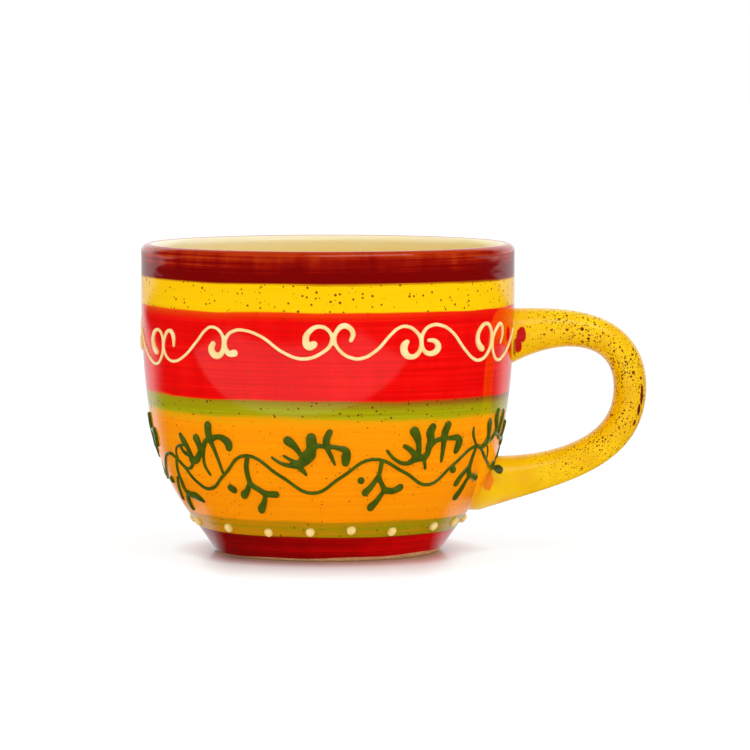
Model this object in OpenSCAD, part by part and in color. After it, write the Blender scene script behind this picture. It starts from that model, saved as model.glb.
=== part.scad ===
// Hand-painted clay mug: a thrown body, a pulled handle, painted coats and raised slip trails.
// Millimetres, +Z up. The origin is on the axis, level with the ground. The handle points along +X.

/* [Body] */
// Outside diameter of the rim
rim_d = 100; // [94:1:106]
// Height from the ground to the top of the lip
mug_h = 82.5; // [80:0.5:90]
// Diameter of the clay at the ground
foot_d = 59.6; // [56:0.2:63]
// Outward lean of the wall at the foot, in degrees from upright
foot_lean = 30.4; // [27:0.2:33]
// How far the lean of the foot carries up the wall
foot_pull = 19; // [16:0.5:22]
// How far the upright of the upper wall carries down
wall_pull = 55; // [51:0.5:59]
// Height of the upright stretch at the top of the wall, with the lip
upright_h = 10.5; // [7.5:0.5:13.5]
// Thickness of the clay wall, and of the round lip
wall_t = 3.4; // [3:0.1:4]
// Height of the clay floor above the ground
floor_t = 6.5; // [5.5:0.1:8]
// Size of the rounded corner between floor and wall
floor_corner = 9; // [6:0.5:11]
// Width of the ring that the mug stands on
foot_ring_w = 6; // [4:0.25:9]
// Depth of the hollow inside the foot ring
foot_hollow = 1.5; // [1:0.1:2.5]
// Bevel around the outside of the foot ring
foot_bevel = 0.6; // [0.3:0.1:0.8]

/* [Painted coats] */
// Thickness of paint and glaze together
coat_t = 0.35; // [0.25:0.05:0.5]
// Height of the bare clay strip at the foot
bare_h = 1; // [0.9:0.1:1.6]
// Height of the dark red band at the foot
foot_band_h = 5.8; // [5:0.1:6.5]
// Height of the lower green band
lower_green_h = 4.4; // [3.8:0.1:5]
// Height of the orange band, which shares what is left of the wall with the red band
orange_h = 27.8; // [26.5:0.1:29]
// Height of the green band
green_h = 4.6; // [3:0.1:6]
// Height of the red band
red_h = 23.1; // [22:0.1:24.5]
// Height of the yellow band
yellow_h = 7.3; // [6:0.1:8]
// Height of the maroon band at the rim, with the lip
rim_h = 8.5; // [7:0.1:10]
// How far the maroon turns over the lip before the cream begins, in degrees from the outside
lip_turn = 110; // [90:5:150]

/* [Handle] */
// Distance from the axis of the mug to the middle of the handle at its outermost point
handle_reach = 81; // [77:0.5:86]
// Distance from the top of the lip down to the upper root
upper_root_z = 24.9; // [24:0.1:26.5]
// Height of the outermost point above the middle between the roots
handle_bulge_z = 6; // [4.1:0.1:8.1]
// Height of the lower root above the ground
lower_root_z = 18.2; // [17.5:0.1:19]
// How far the upper arm keeps its way out from the root
upper_out = 26.5; // [22:0.5:30]
// How far the upper arm climbs on that way
upper_rise = 6.5; // [4:0.25:8]
// How far the outermost stretch keeps upright above its middle
bulge_up = 9.8; // [8:0.2:12]
// How far the outermost stretch keeps upright below its middle
bulge_down = 14.6; // [12:0.2:17]
// How far the lower arm keeps its way out from the root
lower_out = 29; // [25:0.5:32]
// How far the lower arm climbs on that way
lower_rise = 3.3; // [2:0.1:4.5]
// Thickness of the handle, measured away from the wall
handle_t = 8.8; // [8:0.1:10]
// Width of the handle, measured round the mug
handle_w = 12; // [10:0.5:14]
// How much the thickness swells on each side at the roots
root_swell = 3.1; // [2:0.1:3.6]
// How much the width swells on each side at the roots
root_spread = 1.8; // [1:0.1:2.4]
// Thickness of the slip that joins the handle to the wall
slip_t = 0.5; // [0.3:0.1:0.8]

/* [Cream scroll] */
// Pairs of curls round the mug that turn up, with as many that turn down
scroll_repeats = 6; // [5:1:6]
// Distance from the yellow band down to the middle of the scroll
scroll_z = 7.2; // [6.2:0.2:8.2]
// Width of a trailed line
trail_w = 0.8; // [0.7:0.05:1.05]
// How far a trailed line stands proud
trail_h = 0.55; // [0.4:0.05:0.8]
// Width of the drop of slip at the end of a curl
curl_drop_w = 2; // [1.4:0.1:2.2]
// Height of a curl
curl_h = 8.6; // [7.8:0.2:9]

/* [Green vine] */
// Waves of the stem round the mug
vine_waves = 9; // [8:1:9]
// Distance from the lower green band up to the middle of the stem
vine_z = 13; // [12.6:0.1:13.8]
// How far the stem swings up and down from its middle
vine_swing = 4.6; // [4:0.1:4.9]
// Width of the stem
stem_w = 0.9; // [0.7:0.05:1.1]
// How far the vine stands proud
vine_h = 0.65; // [0.4:0.05:0.9]
// Diameter of a berry
berry_d = 1.9; // [1.4:0.1:2.2]
// Height of a leaf sprig above the middle of the stem
sprig_h = 12.6; // [11.4:0.2:13.2]

/* [Cream dots] */
// Dots round the lower green band
dot_count = 19; // [14:1:24]
// Diameter of a dot
dot_d = 2.2; // [1.6:0.1:2.6]
// How far a dot stands proud
dot_h = 1.2; // [0.8:0.1:1.4]

/* [Hidden] */
$fn = 96;

CLAY = "#c8a47a";
SLIP = "#b98f66";
CREAM = "#f4dfa6";
MAROON = "#8a1004";
YELLOW = "#fbc502";
RED = "#e6140c";
GREEN = "#a3a416";
ORANGE = "#fb9704";
OLIVE = "#9a8606";
LEAF_GREEN = "#3f5c0c";

// Upper edges of the bands: the lowest two are set out from the ground and the highest two from the lip.
// Orange and red share what the others leave of the wall.
foot_band_top = bare_h + foot_band_h;
lower_green_top = foot_band_top + lower_green_h;
yellow_top = mug_h - rim_h;
red_top = yellow_top - yellow_h;
wall_left = red_top - lower_green_top - orange_h - green_h - red_h;
orange_top = lower_green_top + orange_h + wall_left / 2;
green_top = orange_top + green_h;

// Heights of the two running patterns, from the ground
scroll_line = red_top - scroll_z;
vine_line = lower_green_top + vine_z;

// Outside of the clay: a curve from the leaning foot to the upright wall, and the round lip above it
foot_r = foot_d / 2;
rim_r = rim_d / 2 - coat_t;
lip_r = wall_t / 2;
lip_z = mug_h - coat_t - lip_r;
upright_z = mug_h - upright_h;
wall_samples = 28;
wall_curve = [
    [foot_r, 0],
    [foot_r + foot_pull * sin(foot_lean), foot_pull * cos(foot_lean)],
    [rim_r, upright_z - wall_pull],
    [rim_r, upright_z]];
wall_table = [
    for (i = [0 : wall_samples]) let (p = curve_point(wall_curve, i / wall_samples)) [p[1], p[0]],
    [lip_z, rim_r]];

// Room between a raised trail and the coat under it
seat_gap = 0.05;
// Half the width of the gap that the scroll leaves for the upper root, measured round the wall
root_clear = handle_w / 2 + root_spread + coat_t + trail_w;
handle_angle = 90;

// A point at t, from 0 to 1, on the curve with four control points
function curve_point(c, t) =
    pow(1 - t, 3) * c[0] + 3 * pow(1 - t, 2) * t * c[1] + 3 * (1 - t) * t * t * c[2] + pow(t, 3) * c[3];

// Radius of the clay at a height, its lean in degrees, and the radius of the coat over it
function clay_r(z) = lookup(z, wall_table);
function lean(z) =
    let (step = 0.5, mid = max(z, step)) atan2(clay_r(mid + step) - clay_r(mid - step), 2 * step);
function coat_r(z, t = coat_t) = clay_r(z) + t / cos(lean(z));

// Heights between two levels at which the outline has a corner, from the lower to the upper
function levels(low, high) =
    let (room = 0.05)
    concat([low], [for (row = wall_table) if (row[0] > low + room && row[0] < high - room) row[0]], [high]);
function backwards(list) = [for (i = [len(list) - 1 : -1 : 0]) list[i]];

// Part of the round lip, from an angle to another, both measured from the outside over the top
function lip_arc(r, start, end) =
    let (steps = 10)
    [for (i = [0 : steps])
        let (a = start + (end - start) * i / steps)
        [rim_r - lip_r + r * cos(a), lip_z + r * sin(a)]];

// Outline of the inside from the lip down to the middle of the floor, with a layer of t on the clay
function inside_r(z, t) = clay_r(z) - (wall_t + t) / cos(lean(z));
function inside_path(t) =
    let (
        floor_z = floor_t + t,
        bend_z = floor_z + floor_corner,
        corner = [inside_r(floor_z, t), floor_z],
        bend = [inside_r(bend_z, t), bend_z],
        flat = [corner[0] - floor_corner, floor_z],
        steps = 8)
    concat(
        [for (z = backwards(levels(bend_z, lip_z))) [inside_r(z, t), z]],
        [for (i = [1 : steps]) let (k = i / steps)
            pow(1 - k, 2) * bend + 2 * k * (1 - k) * corner + k * k * flat],
        [[0, floor_z]]);

// The whole space inside the outer face of a layer of t on the clay
module filled_wall(t) {
    top = [[coat_r(lip_z, t), mug_h], [0, mug_h]];
    rotate_extrude()
        polygon(concat([[0, 0]], [for (z = levels(0, lip_z)) [coat_r(z, t), z]], top));
}

// One painted band between two heights
module band(low, high) {
    outer = [for (z = levels(low, high)) [coat_r(z), z]];
    inner = [for (z = backwards(levels(low, high))) [clay_r(z), z]];
    rotate_extrude()
        polygon(concat(outer, inner));
}

// A band with room cut for the handle that grows out of it
module band_round_handle(low, high) {
    difference() {
        band(low, high);
        skin(handle_rings(coat_t));
    }
}

// A closed skin over rings that all have the same number of points
module skin(rings, closed = false) {
    n = len(rings);
    m = len(rings[0]);
    runs = closed ? n : n - 1;
    sides = [
        for (i = [0 : runs - 1], j = [0 : m - 1])
            let (
                here = i * m,
                next = (i + 1) % n * m,
                k = (j + 1) % m,
                a = here + j,
                b = here + k,
                c = next + k,
                d = next + j)
            each [[a, b, c], [a, c, d]]];
    ends = closed ? [] : [[for (j = [m - 1 : -1 : 0]) j], [for (j = [0 : m - 1]) (n - 1) * m + j]];
    polyhedron(points = [for (ring = rings) each ring], faces = concat(sides, ends));
}

// The middle line of the handle, in two curves that meet upright at the outermost point
root_depth = 2;
upper_start = [rim_r - root_depth, mug_h - upper_root_z];
bulge = [handle_reach, (upper_start[1] + lower_root_z) / 2 + handle_bulge_z];
lower_end = [clay_r(lower_root_z) - root_depth, lower_root_z];
upper_arm = [upper_start, upper_start + [upper_out, upper_rise], bulge + [0, bulge_up], bulge];
lower_arm = [bulge, bulge - [0, bulge_down], lower_end + [lower_out, lower_rise], lower_end];
arm_steps = 17;
handle_line = concat(
    [for (i = [0 : arm_steps]) curve_point(upper_arm, i / arm_steps)],
    [for (i = [1 : arm_steps]) curve_point(lower_arm, i / arm_steps)]);

// Oval sections of the handle with a layer of t on the clay, from the upper root to the lower one
function handle_ring(i, t) =
    let (
        last = len(handle_line) - 1,
        before = handle_line[max(i - 1, 0)],
        after = handle_line[min(i + 1, last)],
        along = (after - before) / norm(after - before),
        nearness = pow(abs(2 * i / last - 1), 6),
        half_t = handle_t / 2 - coat_t + root_swell * nearness + t,
        half_w = handle_w / 2 - coat_t + root_spread * nearness + t,
        middle = handle_line[i],
        points = 18)
    [for (j = [0 : points - 1]) let (a = 360 * j / points)
        [middle[0] - along[1] * half_t * cos(a), half_w * sin(a), middle[1] + along[0] * half_t * cos(a)]];

// A section pushed on into the leaning wall, so that the lower root meets it all the way round
root_sink = 7;
function sunk_ring(t) = [for (p = handle_ring(len(handle_line) - 1, t)) p - [root_sink, 0, 0]];
function handle_rings(t) = concat([for (i = [0 : len(handle_line) - 1]) handle_ring(i, t)], [sunk_ring(t)]);

// A point on the painted wall: angle round from the front, height, and how far proud of the coat
function wall_point(angle, z, proud) =
    let (r = coat_r(z) + proud * cos(lean(z)))
    [r * sin(angle), -r * cos(angle), z - proud * sin(lean(z))];

// A smooth line through a list of rows, with steps places from each row to the next
function smooth_row(list, i, k) =
    let (
        last = len(list) - 1,
        a = list[max(i - 1, 0)],
        b = list[i],
        c = list[min(i + 1, last)],
        d = list[min(i + 2, last)])
    b + (c - a) * k / 2 + (a - 2.5 * b + 2 * c - d / 2) * k * k + (1.5 * (b - c) + (d - a) / 2) * k * k * k;
function smooth_line(list, steps) = concat(
    [for (i = [0 : len(list) - 2], s = [0 : steps - 1]) smooth_row(list, i, s / steps)],
    [list[len(list) - 1]]);

// Degrees round the wall for a length along it at a height
function wall_degrees(length, z) = length / coat_r(z) * 180 / PI;

// One raised trail. Each row of its line is [angle, height, width].
module trail(line, proud, closed = false) {
    dome = [[-0.5, 0], [-0.36, 0.7], [0, 1], [0.36, 0.7], [0.5, 0]];
    last = len(line) - 1;
    skin([
        for (i = [0 : last])
            let (
                here = line[i],
                before = closed ? line[(i + last) % (last + 1)] : line[max(i - 1, 0)],
                after = closed ? line[(i + 1) % (last + 1)] : line[min(i + 1, last)],
                turn = after[0] < before[0] && closed ? 360 : 0,
                run = (after[0] + turn - before[0]) * PI / 180 * coat_r(here[1]),
                rise = after[1] - before[1],
                along = [run, rise] / norm([run, rise]))
            [for (p = dome)
                wall_point(
                    here[0] - wall_degrees(along[1] * p[0] * here[2], here[1]),
                    here[1] + along[0] * p[0] * here[2],
                    seat_gap + p[1] * proud)]], closed);
}

// A dab of slip from root to tip by way of a bend, each [along the wall, up from the middle of the stem],
// with both end widths, all in units of the drawing of a sprig, which is 12.6 units high
sprig_unit = sprig_h / 12.6;
module dab(angle, root, bend, tip, root_w, tip_w) {
    steps = 4;
    blunt = 0.55;
    trail([
        for (i = [0 : steps])
            let (
                k = i / steps,
                p = sprig_unit * (pow(1 - k, 2) * root + 2 * k * (1 - k) * bend + k * k * tip),
                w = sprig_unit * (root_w + (tip_w - root_w) * k) * (i == steps ? blunt : 1),
                z = vine_line + p[1])
            [angle + wall_degrees(p[0], z), z, w]], vine_h);
}

// A drop of slip that has settled into a dome
module dome(angle, z, d, h) {
    steps = 8;
    arc = [for (i = [0 : steps]) let (a = 90 * i / steps) [d / 2 * cos(a), h * sin(a)]];
    translate(wall_point(angle, z, seat_gap))
        rotate([90 + lean(z), 0, angle])
            rotate_extrude()
                polygon(concat([[0, 0]], arc));
}

module clay_body() {
    hollow_r = foot_r - foot_ring_w;
    under = [[0, foot_hollow], [hollow_r - foot_hollow, foot_hollow], [hollow_r, 0]];
    outside = [for (z = levels(foot_bevel, lip_z)) [clay_r(z), z]];
    color(CLAY)
        rotate_extrude()
            polygon(concat(under, [[foot_r - foot_bevel, 0]], outside, lip_arc(lip_r, 0, 180), inside_path(0)));
}

module clay_handle() {
    color(CLAY)
        difference() {
            skin(handle_rings(0));
            filled_wall(slip_t);
        }
}

// The slip between the wall and the first or last stretch of the handle
module slip_joint(rings) {
    color(SLIP)
        difference() {
            intersection() {
                skin(rings);
                filled_wall(slip_t);
            }
            filled_wall(0);
        }
}

root_rings = 6;

module upper_slip_joint() {
    slip_joint([for (i = [0 : root_rings]) handle_ring(i, 0)]);
}

module lower_slip_joint() {
    last = len(handle_line) - 1;
    slip_joint(concat([for (i = [last - root_rings : last]) handle_ring(i, 0)], [sunk_ring(0)]));
}

module liner_glaze() {
    under = concat(lip_arc(lip_r, lip_turn, 180), inside_path(0));
    face = concat(lip_arc(lip_r + coat_t, lip_turn, 180), inside_path(coat_t));
    color(CREAM)
        rotate_extrude()
            polygon(concat(under, backwards(face)));
}

module foot_band() {
    color(MAROON)
        band(bare_h, foot_band_top);
}

module lower_green_band() {
    color(OLIVE)
        band_round_handle(foot_band_top, lower_green_top);
}

module orange_band() {
    color(ORANGE)
        band_round_handle(lower_green_top, orange_top);
}

module green_band() {
    color(GREEN)
        band_round_handle(orange_top, green_top);
}

module red_band() {
    color(RED)
        band_round_handle(green_top, red_top);
}

module yellow_band() {
    color(YELLOW)
        band_round_handle(red_top, yellow_top);
}

module rim_band() {
    outer = [for (z = levels(yellow_top, lip_z)) [coat_r(z), z]];
    inner = [for (z = backwards(levels(yellow_top, lip_z))) [clay_r(z), z]];
    color(MAROON)
        difference() {
            rotate_extrude()
                polygon(concat(
                    outer, lip_arc(lip_r + coat_t, 0, lip_turn), backwards(lip_arc(lip_r, 0, lip_turn)), inner));
            skin(handle_rings(coat_t));
        }
}

module handle_glaze() {
    color(YELLOW)
        difference() {
            skin(concat(handle_rings(coat_t), backwards(handle_rings(0))), closed = true);
            filled_wall(0);
        }
}

// Half of one S-shaped stroke, from its middle to the drop in its curl.
// Each row is [distance from the line where two curls meet, height, width]. The drawing is 8.6 units high.
half_pitch = coat_r(scroll_line) * PI / scroll_repeats / 2;
curl_unit = curl_h / 8.6;
curl_drawing = [
    [5.6, -4.6], [2.3, -3.2], [0.65, 0.4], [1.2, 2.9], [3.4, 4], [5.9, 1.9], [5.2, -0.1], [4.4, -0.8]];
curl_widths = [
    trail_w, trail_w, trail_w, trail_w, trail_w, (trail_w + curl_drop_w) / 2, curl_drop_w, curl_drop_w / 3];
stroke_half = concat(
    [[half_pitch, 0, trail_w]],
    [for (i = [0 : len(curl_drawing) - 1]) concat(curl_unit * curl_drawing[i], curl_widths[i])]);

module scroll_trails() {
    spread = 3;
    first_half = [for (row = backwards(stroke_half)) [row[0] - half_pitch, row[1], row[2]]];
    second_half = [for (i = [1 : len(stroke_half) - 1]) let (row = stroke_half[i])
        [half_pitch - row[0], -row[1], row[2]]];
    stroke = smooth_line(concat(first_half, second_half), spread);
    color(CREAM)
        for (i = [0 : 2 * scroll_repeats - 1]) {
            hand = i % 2 == 0 ? 1 : -1;
            centre = handle_angle + 180 / scroll_repeats * (i + 0.5);
            placed = [for (row = stroke)
                [centre - hand * wall_degrees(row[0], scroll_line), scroll_line + row[1], row[2]]];
            away = [for (row = placed)
                if (coat_r(scroll_line) * abs(sin((row[0] - handle_angle) / 2)) * 2 > root_clear) row];
            trail(hand > 0 ? backwards(away) : away, trail_h);
        }
}

module vine_stem() {
    places = 14 * vine_waves;
    color(LEAF_GREEN)
        trail([
            for (i = [0 : places - 1])
                let (a = 360 * i / places)
                [a + handle_angle, vine_line + vine_swing * cos(a * vine_waves), stem_w]], vine_h, true);
}

module vine_leaves() {
    color(LEAF_GREEN)
        for (i = [0 : vine_waves - 1]) {
            a = handle_angle + 360 / vine_waves * (i + 0.5);
            dab(a, [-3.5, 2.6], [-7.5, 1.6], [-10.5, 5], 1, 0.7);
            dab(a, [-2.9, 3.1], [-0.4, 4.8], [0.2, 7], 1.9, 1.3);
            dab(a, [-3.6, 4.4], [-4, 7], [-6.4, 9.8], 1, 2);
            dab(a, [0.1, 7.6], [-0.6, 9], [-0.6, 11], 1.8, 2.2);
            dab(a, [1.5, 7.4], [2.4, 7.6], [3.2, 7.4], 0.7, 0.7);
            dab(a, [4.3, 3.2], [3.6, 7.8], [4.4, 12.6], 0.7, 1.6);
            dab(a, [5.3, 7.8], [9.2, 8.6], [8.6, 3.8], 1, 2);
        }
}

module vine_drops() {
    color(LEAF_GREEN)
        for (i = [1 : vine_waves - 1]) {
            a = handle_angle + 360 / vine_waves * i;
            top = (vine_swing - stem_w / 2 - vine_h) / sprig_unit;
            dab(a, [0.2, top], [-0.2, 1.5], [0.3, -2], 1, 1.2);
            dab(a, [-0.5, -3.1], [-1, -4.6], [-2.7, -5.6], 0.9, 1.9);
            dab(a, [1.1, -3], [3.5, -4.9], [7.5, -4.9], 1, 1.8);
            dab(a, [3.6, -5.9], [3.3, -7.6], [1.8, -9.4], 1, 2);
        }
}

module vine_berries() {
    beside = -5 * sprig_unit;
    z = vine_line - 3 * sprig_unit;
    color(LEAF_GREEN)
        for (i = [1 : vine_waves - 1])
            dome(handle_angle + 360 / vine_waves * i + wall_degrees(beside, z), z, berry_d, vine_h);
}

module cream_dots() {
    color(CREAM)
        for (i = [0 : dot_count - 1])
            dome(360 / dot_count * (i + 0.5), foot_band_top + lower_green_h / 2, dot_d, dot_h);
}

clay_body();
clay_handle();
upper_slip_joint();
lower_slip_joint();
liner_glaze();
foot_band();
lower_green_band();
orange_band();
green_band();
red_band();
yellow_band();
rim_band();
handle_glaze();
scroll_trails();
vine_stem();
vine_leaves();
vine_drops();
vine_berries();
cream_dots();
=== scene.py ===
import math

import bmesh
import bpy
import numpy as np
from mathutils import Euler, Matrix, Vector


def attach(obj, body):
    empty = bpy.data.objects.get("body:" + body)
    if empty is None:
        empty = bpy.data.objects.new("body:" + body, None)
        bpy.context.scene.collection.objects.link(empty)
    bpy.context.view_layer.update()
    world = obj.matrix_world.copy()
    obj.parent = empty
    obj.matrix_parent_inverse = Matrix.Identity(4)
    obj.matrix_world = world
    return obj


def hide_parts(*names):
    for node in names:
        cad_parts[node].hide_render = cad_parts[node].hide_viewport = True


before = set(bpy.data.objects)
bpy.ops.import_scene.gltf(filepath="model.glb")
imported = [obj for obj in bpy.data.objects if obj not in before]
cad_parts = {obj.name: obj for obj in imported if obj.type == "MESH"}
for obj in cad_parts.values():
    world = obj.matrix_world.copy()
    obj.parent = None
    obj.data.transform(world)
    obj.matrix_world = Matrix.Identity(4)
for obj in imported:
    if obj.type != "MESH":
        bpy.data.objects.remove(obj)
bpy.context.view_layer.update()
scene = bpy.context.scene

# Clay body: pale earthenware thrown on the wheel, with a foot ring turned on the underside.
# Paint and glaze cover all of it but the foot ring and a thin uneven strip above the ground.
# Sizes are in millimetres, and MM turns them into metres where a mesh is made.
MM = 0.001
COAT = 0.35
HEIGHT = 82.5
LIP_R = 1.7
LIP_Z = HEIGHT - COAT - LIP_R
RIM_R = 49.65
WALL_T = 2 * LIP_R
FOOT_R = 29.8
FLOOR_Z = 6.5
FLOOR_BEND = 9
# The wall is one curve, which leaves the foot at a lean and ends upright below the lip
FOOT_LEAN = math.radians(30.4)
FOOT_PULL = 19
BELLY_Z = 17
UPRIGHT_Z = 72
WALL_CURVE = (
    Vector((FOOT_R, 0)),
    Vector((FOOT_R + FOOT_PULL * math.sin(FOOT_LEAN), FOOT_PULL * math.cos(FOOT_LEAN))),
    Vector((RIM_R, BELLY_Z)),
    Vector((RIM_R, UPRIGHT_Z)))
# Throwing rings in radians per millimetre, which puts them 5.5 mm apart on the wall and 7 mm on the floor
WALL_RINGS, FLOOR_RINGS = 1.15, 0.9


def curve_point(c, t):
    """Point at t, from 0 to 1, on a curve of four control points."""
    return (1 - t) ** 3 * c[0] + 3 * (1 - t) ** 2 * t * c[1] + 3 * (1 - t) * t * t * c[2] + t ** 3 * c[3]


WALL = np.array([curve_point(WALL_CURVE, i / 1000) for i in range(1001)])


def clay_radius(z):
    """Radius of the bare clay wall at a height, both in millimetres."""
    return np.interp(z, WALL[:, 1], WALL[:, 0])


def lean(z):
    """Outward lean of the wall at a height, in radians from upright."""
    z = np.maximum(z, 0.5)
    return np.arctan(clay_radius(z + 0.5) - clay_radius(z - 0.5))


def heights(low, high, step=1.0):
    """Even heights from low to high, about a step apart."""
    count = max(2, round((high - low) / step))
    return [low + (high - low) * i / count for i in range(count + 1)]


def lip_arc(r, start=0, end=180, steps=12):
    """Part of the round lip between two angles in degrees, measured from the outside over the top."""
    turns = [math.radians(start + (end - start) * i / steps) for i in range(steps + 1)]
    return [(RIM_R - LIP_R + r * math.cos(a), LIP_Z + r * math.sin(a)) for a in turns]


def inside(z, t):
    """Radius of the inside of the cup at a height, on a coat of the given thickness."""
    return clay_radius(z) - (WALL_T + t) / np.cos(lean(z))


def inside_path(t, ring=0.0):
    """Inside of the cup from the lip down to the middle of the floor, with faint throwing rings."""
    floor, bend = FLOOR_Z + t, FLOOR_Z + t + FLOOR_BEND
    wall = [(inside(z, t) - ring * math.sin(z * WALL_RINGS), z) for z in reversed(heights(bend, LIP_Z))]
    corner = Vector((inside(floor, t), floor))
    start, end = Vector(wall[-1]), Vector((corner.x - FLOOR_BEND, floor))
    arc = []
    for i in range(1, 13):
        k = i / 12
        arc.append(tuple((1 - k) ** 2 * start + 2 * k * (1 - k) * corner + k * k * end))
    reaches = [end.x * (1 - i / 24) for i in range(1, 24)]
    flat = [(r, floor + ring * math.sin(r * FLOOR_RINGS)) for r in reaches]
    return wall + arc + flat + [(0, floor)]


def finished(name, bm, sharp=40):
    """Turns a bmesh into a smooth object with outward normals."""
    bmesh.ops.remove_doubles(bm, verts=bm.verts, dist=2e-6)
    bmesh.ops.recalc_face_normals(bm, faces=bm.faces)
    mesh = bpy.data.meshes.new(name)
    bm.to_mesh(mesh)
    bm.free()
    mesh.polygons.foreach_set("use_smooth", [True] * len(mesh.polygons))
    mesh.set_sharp_from_angle(angle=math.radians(sharp))
    obj = bpy.data.objects.new(name, mesh)
    scene.collection.objects.link(obj)
    return obj


def turned(name, outline, steps=128):
    """Spins a closed outline of (radius, height) points in millimetres."""
    bm = bmesh.new()
    verts = [bm.verts.new((r * MM, 0, z * MM)) for r, z in outline]
    edges = [bm.edges.new(pair) for pair in zip(verts, verts[1:])]
    if outline[0][0] or outline[-1][0]:
        edges.append(bm.edges.new((verts[-1], verts[0])))
    bmesh.ops.spin(
        bm, geom=verts + edges, cent=(0, 0, 0), axis=(0, 0, 1), dvec=(0, 0, 0),
        angle=math.tau, steps=steps, use_merge=True)
    return finished(name, bm)


def rgb(code):
    """Linear colour for an sRGB hex code."""
    parts = [int(code[i:i + 2], 16) / 255 for i in (1, 3, 5)]
    return [c / 12.92 if c <= 0.04045 else ((c + 0.055) / 1.055) ** 2.4 for c in parts] + [1.0]


def add(tree, kind, inputs=None, stops=None, **settings):
    """Adds a shader node with its settings. Each input takes a value or the socket that feeds it.

    Sockets that share a name go by number: Map Range turns 1..2 into 3..4, and Mix lays colour 7 over 6.
    """
    made = tree.nodes.new("ShaderNode" + kind)
    for key, value in settings.items():
        setattr(made, key, value)
    for key, value in (inputs or {}).items():
        if isinstance(value, bpy.types.NodeSocket):
            tree.links.new(value, made.inputs[key])
        else:
            made.inputs[key].default_value = value
    for i, (place, code) in enumerate(stops or ()):
        points = made.color_ramp.elements
        point = points[i] if i < 2 else points.new(place)
        point.position = place
        point.color = rgb(code)
    return made


def material(name):
    """A new material and its empty node tree."""
    mat = bpy.data.materials.new(name)
    mat.use_nodes = True
    mat.node_tree.nodes.clear()
    return mat, mat.node_tree


def in_mm(tree, x, y, z):
    """Object coordinates stretched so that one unit is the given number of millimetres along each axis."""
    coords = add(tree, "TexCoord").outputs["Object"]
    return add(
        tree, "VectorMath", {0: coords, 1: (1000 / x, 1000 / y, 1000 / z)}, operation="MULTIPLY").outputs[0]


# From the middle of the underside out: a shallow hollow, then the ring that stands on the ground
UNDERSIDE = [
    (0, 1.5), (8, 1.45), (16, 1.5), (22.0, 1.5), (23.0, 1.1), (23.6, 0.25), (24.2, 0), (28.9, 0),
    (29.6, 0.25)]
wall_rows = [(clay_radius(z), z) for z in heights(0.7, LIP_Z)]
clay_body = turned("thrown_body", UNDERSIDE + wall_rows + lip_arc(LIP_R)[1:] + inside_path(0)[1:])

# Dry, sandy and warm, with fine iron specks and the grain that turning drags out of the clay.
# The grain is drawn at about 1 mm, coarser than the real one, so that it shows.
raw_clay, tree = material("raw_clay_bisque_fired")
grain = add(tree, "TexNoise", {"Vector": in_mm(tree, 1.2, 1.2, 0.5), "Detail": 5.0, "Scale": 1.0})
specks = add(tree, "TexVoronoi", {"Vector": in_mm(tree, 1.1, 1.1, 1.1), "Scale": 1.0})
tone = add(
    tree, "ValToRGB", {"Fac": grain.outputs["Fac"]},
    stops=((0.3, "#c88f5c"), (0.7, "#e6b682"), (0.5, "#d9a36d")))
dark = add(tree, "MapRange", {"Value": specks.outputs["Distance"], 1: 0.08, 2: 0.16, 3: 0.6, 4: 0.0})
spotted = add(
    tree, "Mix", {0: dark.outputs[0], 6: tone.outputs["Color"], 7: rgb("#7d5232")}, data_type="RGBA")
relief = add(tree, "Bump", {"Height": grain.outputs["Fac"], "Strength": 0.35, "Distance": 0.00015})
shader = add(tree, "BsdfPrincipled", {
    "Base Color": spotted.outputs[2], "Roughness": 0.85, "IOR": 1.5, "Normal": relief.outputs["Normal"]})
add(tree, "OutputMaterial", {"Surface": shader.outputs["BSDF"]})
clay_body.data.materials.append(raw_clay)
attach(clay_body, "root")
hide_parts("clay_body")

# Clay handle: a strap of the same clay, pulled by hand and bent while soft. Its roots are stuck to the wall.
# Its glaze hides all of it, so the shape stays as it is.
clay_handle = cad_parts["clay_handle"]
clay_handle.data.materials.clear()
clay_handle.data.materials.append(raw_clay)

# Slip joints: the smears of liquid clay that hold both roots of the handle to the leather-hard wall.
# The slip is finer and a little darker than the body, and dull. The roots and their glaze hide it.
joining_slip, tree = material("joining_slip_smeared")
smear = add(tree, "TexNoise", {"Vector": in_mm(tree, 2, 2, 2), "Detail": 3.0, "Scale": 1.0})
tone = add(tree, "ValToRGB", {"Fac": smear.outputs["Fac"]}, stops=((0.3, "#a97f58"), (0.7, "#c39a70")))
shader = add(tree, "BsdfPrincipled", {"Base Color": tone.outputs["Color"], "Roughness": 0.8, "IOR": 1.5})
add(tree, "OutputMaterial", {"Surface": shader.outputs["BSDF"]})
for name in ("upper_slip_joint", "lower_slip_joint"):
    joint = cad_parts[name]
    joint.data.materials.clear()
    joint.data.materials.append(joining_slip)

# Liner glaze: the cream coat poured into the cup, which runs up to the crest of the lip.
# It meets the maroon of the rim at LIP_TURN, in degrees from the outside over the lip.
LIP_TURN = 110
RING_DEPTH = 0.08
liner_under = lip_arc(LIP_R, LIP_TURN) + inside_path(0)[1:]
liner_face = lip_arc(LIP_R + COAT, LIP_TURN) + inside_path(COAT, RING_DEPTH)[1:]
liner_glaze = turned("poured_liner", liner_under + list(reversed(liner_face)))

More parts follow.
